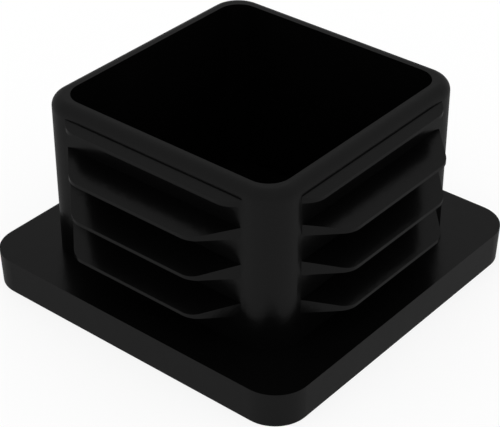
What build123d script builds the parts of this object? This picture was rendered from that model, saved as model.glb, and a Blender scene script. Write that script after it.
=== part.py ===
from build123d import *
import os
from math import radians, sin, tan

# An end cap for a square tube, moulded in one piece. Its flange covers the end of the
# tube, its hollow square shank goes into the bore, and barbed ribs on the four sides of
# the shank grip the bore. Lengths are in millimetres and angles in degrees.
#
# The origin is the centre of the flange's outer face, which lies in the plane z = 0.
# The shank stands along +Z, and its open end is at the top.

# Tube: the flange is flush with its outside, and the ribs bend a little in its bore
TUBE_WIDTH = 50.0
TUBE_WALL = 2.0
RIB_GRIP = 0.36               # from the bore out to the edge of an unbent rib

# Flange
FLANGE_THICKNESS = 4.9
FLANGE_CORNER_RADIUS = 4.82   # at the tube side
FLANGE_DRAFT = 2.2            # of its sides, which narrow towards the outer face

# Shank
SHANK_LENGTH = 22.45          # from the flange to the rim
SHANK_WALL = 2.05
SHANK_CORNER_RADIUS = 4.3
RIM_RADIUS = 1.47             # round on the outer edge of the open end
HOLLOW_CORNER_RADIUS = 3.1
HOLLOW_FLOOR = 2.2            # from the flange's outer face up to the floor of the hollow

# Gripping ribs: a pile of equal barbs on each wall, the uppermost with a flatter top
RIB_REACH = 4.31              # from the wall out to the edge
RIB_EDGE = 0.45               # thickness at the edge, also of the lead rib
RIB_SLOPE = 19.6              # of the top, falling towards the edge
UPPER_RIB_SLOPE = 14.5
RIB_START = 4.17              # from the flange up to the underside of the lowest rib
RIB_PITCH = 5.625             # from one underside to the next
RIB_END_GAP = 0.75            # from a rib's end to the start of the shank's corner round
RIB_END_ANGLE = 45.0          # between a rib's end and the wall, seen from above
RIB_CORNER_RADIUS = 3.0       # where an end meets the edge, also of the lead rib

# Lead rib: a low barb under the rim, which guides the cap into the bore
LEAD_RIB_REACH = 1.44
LEAD_RIB_SLOPE = 17.5
LEAD_RIB_DEPTH = 2.43         # from the rim down to its underside
LEAD_RIB_END_GAP = 0.55

# A round takes up no more than this share of the wall or the rib end that it lies on
ROUND_SHARE = 0.95

SIDES = 4

# Sizes and places that follow from the ones above
bore_width = TUBE_WIDTH - 2 * TUBE_WALL
shank_width = bore_width + 2 * (RIB_GRIP - RIB_REACH)
wall_face = shank_width / 2
hollow_width = shank_width - 2 * SHANK_WALL
rim_height = FLANGE_THICKNESS + SHANK_LENGTH
lowest_rib_height = FLANGE_THICKNESS + RIB_START
lead_rib_height = rim_height - LEAD_RIB_DEPTH
flat_half_length = wall_face - SHANK_CORNER_RADIUS    # of a wall, between the corner rounds
rib_half_length = flat_half_length - RIB_END_GAP
lead_rib_half_length = flat_half_length - LEAD_RIB_END_GAP
rib_root = wall_face - SHANK_WALL / 2                 # ribs are rooted half way into the wall


def make_flange():
    """The cover plate, drawn at its tube side and tapered down to its outer face."""
    tube_side = Plane(origin=(0, 0, FLANGE_THICKNESS), z_dir=(0, 0, -1))
    outline = RectangleRounded(TUBE_WIDTH, TUBE_WIDTH, FLANGE_CORNER_RADIUS)
    return extrude(tube_side * outline, FLANGE_THICKNESS, taper=FLANGE_DRAFT)


def make_shank():
    """The square neck, still solid, with the outer edge of its rim rounded."""
    outline = RectangleRounded(shank_width, shank_width, SHANK_CORNER_RADIUS)
    neck = extrude(Pos(0, 0, FLANGE_THICKNESS) * outline, SHANK_LENGTH)
    rim_edges = neck.faces().sort_by(Axis.Z)[-1].edges()
    return fillet(rim_edges, min(RIM_RADIUS, ROUND_SHARE * SHANK_WALL))


def make_hollow():
    """The space inside the shank and part of the flange, running out past the rim."""
    outline = RectangleRounded(hollow_width, hollow_width, HOLLOW_CORNER_RADIUS)
    return extrude(Pos(0, 0, HOLLOW_FLOOR) * outline, rim_height)


def rib_section(underside, reach, slope):
    """A rib cut across: flat below, blunt at the edge, rising towards the wall on top."""
    edge = wall_face + reach
    edge_top = underside + RIB_EDGE
    root_top = edge_top + (edge - rib_root) * tan(radians(slope))
    corners = [(rib_root, underside), (edge, underside), (edge, edge_top), (rib_root, root_top)]
    return Plane.XZ * make_face(Polyline(corners, close=True))


def rib_plan(reach, half_length):
    """A rib from above: slanted ends that start at the wall, with rounded outer corners."""
    edge = wall_face + reach
    edge_half_length = half_length - reach / tan(radians(RIB_END_ANGLE))
    half = [(rib_root, half_length), (wall_face, half_length), (edge, edge_half_length)]
    other_half = [(x, -y) for x, y in reversed(half)]
    outline = make_face(Polyline(half + other_half, close=True))
    end_length = reach / sin(radians(RIB_END_ANGLE))
    largest_radius = ROUND_SHARE * end_length / tan(radians(RIB_END_ANGLE / 2))
    outer_corners = outline.vertices().group_by(Axis.X)[-1]
    return fillet(outer_corners, min(RIB_CORNER_RADIUS, largest_radius))


def make_rib(underside, reach, slope, half_length):
    """One barb on the +X wall: its section drawn out along the wall, trimmed to its plan."""
    bar = extrude(rib_section(underside, reach, slope), half_length, both=True)
    return bar & extrude(rib_plan(reach, half_length), rim_height)


def make_ribs():
    """The ribs of the +X wall: as many gripping ribs as fit below the lead rib, and that one."""
    room = lead_rib_height - lowest_rib_height - RIB_EDGE - RIB_REACH * tan(radians(RIB_SLOPE))
    spaces = int(room / RIB_PITCH)
    ribs = []
    for place in range(spaces + 1):
        slope = UPPER_RIB_SLOPE if place == spaces else RIB_SLOPE
        underside = lowest_rib_height + place * RIB_PITCH
        ribs.append(make_rib(underside, RIB_REACH, slope, rib_half_length))
    lead = make_rib(lead_rib_height, LEAD_RIB_REACH, LEAD_RIB_SLOPE, lead_rib_half_length)
    ribs.append(lead)
    return ribs


def make_end_cap():
    """The whole cap, one solid."""
    cap = make_flange() + make_shank()
    for side in range(SIDES):
        turn = Rot(0, 0, side * 360 / SIDES)
        cap += [turn * rib for rib in make_ribs()]
    return cap - make_hollow()


os.makedirs("parts", exist_ok=True)
export_step(make_end_cap(), "parts/end_cap.step")
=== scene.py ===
import math

import bpy
from mathutils import Matrix, Vector


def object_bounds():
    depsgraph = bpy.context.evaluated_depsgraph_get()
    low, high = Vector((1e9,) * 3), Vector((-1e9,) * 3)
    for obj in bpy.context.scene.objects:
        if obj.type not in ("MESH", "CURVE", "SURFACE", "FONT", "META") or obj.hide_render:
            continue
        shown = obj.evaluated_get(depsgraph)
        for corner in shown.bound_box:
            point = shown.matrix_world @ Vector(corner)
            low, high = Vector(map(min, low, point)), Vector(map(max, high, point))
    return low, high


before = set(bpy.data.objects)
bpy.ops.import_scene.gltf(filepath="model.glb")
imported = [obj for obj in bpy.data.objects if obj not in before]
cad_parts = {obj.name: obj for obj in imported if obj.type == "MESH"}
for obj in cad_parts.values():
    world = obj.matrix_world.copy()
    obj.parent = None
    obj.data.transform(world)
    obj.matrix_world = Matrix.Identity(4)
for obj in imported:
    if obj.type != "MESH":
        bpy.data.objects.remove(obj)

# An end cap for a square tube, one moulded piece. This script adds no shape to it: it
# gives the solid its black plastic and sets the camera, the floor and the light.
# Lengths are in metres, angles in degrees, and a brightness of 1 is white.

MM = 0.001

# Surroundings: a white tent of light over a white floor, a little dimmer overhead
HORIZON_BRIGHTNESS = 1.0
OVERHEAD_BRIGHTNESS = 0.9
OVERHEAD_FROM = 30.0      # above the horizon
FLOOR_BRIGHTNESS = 1.0
FLOOR_ALBEDO = 0.2        # share of the light that it scatters, and so how dark its shadow is
FLOOR_HALF_WIDTH = 4.0

# Camera: its place round the object, how far it stands from the frame's origin, and
# how far it is then moved to its right and up
AZIMUTH = 39.6495
ELEVATION = 33.7945
DISTANCE = 222.327 * MM
MOVED_RIGHT = -0.310 * MM
MOVED_UP = 6.730 * MM
SENSOR_WIDTH = 36.0       # millimetres, as Blender takes it
PICTURE_WIDTH = 500       # pixels
FOCAL_PIXELS = 1652.97    # the focal length, in those pixels
NEAREST_SEEN = DISTANCE / 10
FARTHEST_SEEN = 4 * FLOOR_HALF_WIDTH

# Plastic: a thin even gloss on top, and a dull black body under it
GLOSS = 0.121             # weight of the coat, which dims its reflections alike at every angle
GLOSS_IOR = 1.85
GLOSS_ROUGHNESS = 0.23
BODY_SHINE = 0.005
BODY_ROUGHNESS = (0.5, 0.6)
BODY_DARK = 0.0012
BODY_LIGHT = 0.0018
FLOW_SIZE = 8 * MM        # of the clouds that the melt leaves in the body's tint and dullness
FLOW_DETAIL = 3           # how many times finer noise is laid over it
SKIN_SIZE = 1.5 * MM      # of the swells of the moulded skin
SKIN_DETAIL = 4
SKIN_DEPTH = 0.03 * MM
NOISE_LOW = 0.3           # noise lies mostly between these two
NOISE_HIGH = 0.7

cad_low, cad_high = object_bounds()


def grey(value):
    return (value, value, value, 1)


def aim_camera():
    """The camera looks down on the near corner, between the cap's +X and -Y sides."""
    turn = math.radians(AZIMUTH)
    tilt = math.radians(ELEVATION)
    level = math.cos(tilt)
    right = Vector((math.cos(turn), math.sin(turn), 0))
    back = Vector((math.sin(turn) * level, -math.cos(turn) * level, math.sin(tilt)))
    up = back.cross(right)
    place = back * DISTANCE + right * MOVED_RIGHT + up * MOVED_UP
    axes = Matrix((right, up, back)).transposed().to_4x4()
    camera = bpy.data.objects.new("camera", bpy.data.cameras.new("camera"))
    bpy.context.scene.collection.objects.link(camera)
    camera.matrix_world = Matrix.Translation(place) @ axes
    camera.data.sensor_width = SENSOR_WIDTH
    camera.data.lens = SENSOR_WIDTH * FOCAL_PIXELS / PICTURE_WIDTH
    camera.data.clip_start = NEAREST_SEEN
    camera.data.clip_end = FARTHEST_SEEN
    bpy.context.scene.camera = camera


def new_material(name):
    """A node material with nothing in it yet."""
    material = bpy.data.materials.new(name)
    material.use_nodes = True
    material.node_tree.nodes.clear()
    return material, material.node_tree.nodes, material.node_tree.links


def add_noise(nodes, links, place, features_per_metre, detail):
    """Cloudy noise through the cap's own space, so that it has the same scale on every face."""
    noise = nodes.new("ShaderNodeTexNoise")
    noise.inputs["Scale"].default_value = features_per_metre
    noise.inputs["Detail"].default_value = detail
    links.new(place, noise.inputs["Vector"])
    return noise.outputs["Fac"]


def add_range(nodes, links, value, low, high):
    """Stretches noise over a range of values."""
    spread = nodes.new("ShaderNodeMapRange")
    spread.inputs["From Min"].default_value = NOISE_LOW
    spread.inputs["From Max"].default_value = NOISE_HIGH
    spread.inputs["To Min"].default_value = low
    spread.inputs["To Max"].default_value = high
    links.new(value, spread.inputs["Value"])
    return spread.outputs["Result"]


def make_plastic():
    """Black moulded plastic: a dim even gloss over a dull body, with a faintly uneven skin."""
    material, nodes, links = new_material("black_plastic")
    output = nodes.new("ShaderNodeOutputMaterial")
    surface = nodes.new("ShaderNodeBsdfPrincipled")
    links.new(surface.outputs["BSDF"], output.inputs["Surface"])
    place = nodes.new("ShaderNodeTexCoord").outputs["Object"]

    surface.inputs["Coat Weight"].default_value = GLOSS
    surface.inputs["Coat IOR"].default_value = GLOSS_IOR
    surface.inputs["Coat Roughness"].default_value = GLOSS_ROUGHNESS
    surface.inputs["Specular IOR Level"].default_value = BODY_SHINE

    flow = add_noise(nodes, links, place, 1 / FLOW_SIZE, FLOW_DETAIL)
    tint = nodes.new("ShaderNodeMix")
    tint.data_type = "RGBA"
    tint.inputs["A"].default_value = grey(BODY_DARK)
    tint.inputs["B"].default_value = grey(BODY_LIGHT)
    links.new(flow, tint.inputs["Factor"])
    links.new(tint.outputs["Result"], surface.inputs["Base Color"])
    links.new(add_range(nodes, links, flow, *BODY_ROUGHNESS), surface.inputs["Roughness"])

    swells = add_noise(nodes, links, place, 1 / SKIN_SIZE, SKIN_DETAIL)
    skin = nodes.new("ShaderNodeBump")
    skin.inputs["Strength"].default_value = 1
    skin.inputs["Distance"].default_value = SKIN_DEPTH
    links.new(swells, skin.inputs["Height"])
    links.new(skin.outputs["Normal"], surface.inputs["Normal"])
    links.new(skin.outputs["Normal"], surface.inputs["Coat Normal"])
    return material


def make_floor_material():
    """A floor that scatters little light, so its shadow is faint. For the camera and for
    reflections, a glow makes up the rest of its white."""
    material, nodes, links = new_material("floor")
    path = nodes.new("ShaderNodeLightPath")
    seen = path.outputs["Is Camera Ray"]
    for ray in ("Is Glossy Ray", "Is Transmission Ray"):
        either = nodes.new("ShaderNodeMath")
        either.operation = "MAXIMUM"
        links.new(seen, either.inputs[0])
        links.new(path.outputs[ray], either.inputs[1])
        seen = either.outputs[0]
    glow = nodes.new("ShaderNodeMath")
    glow.operation = "MULTIPLY"
    links.new(seen, glow.inputs[0])
    glow.inputs[1].default_value = FLOOR_BRIGHTNESS - FLOOR_ALBEDO * OVERHEAD_BRIGHTNESS
    emission = nodes.new("ShaderNodeEmission")
    links.new(glow.outputs[0], emission.inputs["Strength"])
    diffuse = nodes.new("ShaderNodeBsdfDiffuse")
    diffuse.inputs["Color"].default_value = grey(FLOOR_ALBEDO)
    both = nodes.new("ShaderNodeAddShader")
    links.new(diffuse.outputs[0], both.inputs[0])
    links.new(emission.outputs[0], both.inputs[1])
    output = nodes.new("ShaderNodeOutputMaterial")
    links.new(both.outputs[0], output.inputs["Surface"])
    return material


def make_floor():
    """A square floor, level with the underside of the cap."""
    w = FLOOR_HALF_WIDTH
    z = cad_low.z
    mesh = bpy.data.meshes.new("floor")
    mesh.from_pydata([(-w, -w, z), (w, -w, z), (w, w, z), (-w, w, z)], [], [(0, 1, 2, 3)])
    mesh.materials.append(make_floor_material())
    floor = bpy.data.objects.new("floor", mesh)
    bpy.context.scene.collection.objects.link(floor)


def light_world():
    """White light from all round. It dims from the horizon up to where overhead begins."""
    world = bpy.data.worlds.new("surroundings")
    world.use_nodes = True
    nodes = world.node_tree.nodes
    links = world.node_tree.links
    sky = nodes["Background"]
    direction = nodes.new("ShaderNodeSeparateXYZ")
    links.new(nodes.new("ShaderNodeTexCoord").outputs["Generated"], direction.inputs["Vector"])
    brightness = nodes.new("ShaderNodeMapRange")
    brightness.inputs["From Min"].default_value = 0
    brightness.inputs["From Max"].default_value = math.sin(math.radians(OVERHEAD_FROM))
    brightness.inputs["To Min"].default_value = HORIZON_BRIGHTNESS
    brightness.inputs["To Max"].default_value = OVERHEAD_BRIGHTNESS
    links.new(direction.outputs["Z"], brightness.inputs["Value"])
    links.new(brightness.outputs["Result"], sky.inputs["Strength"])
    sky.inputs["Color"].default_value = grey(1)
    bpy.context.scene.world = world


aim_camera()
make_floor()
light_world()
plastic = make_plastic()
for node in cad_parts.values():
    for slot in node.material_slots:
        slot.material = plastic
bpy.context.scene.view_settings.view_transform = "Standard"
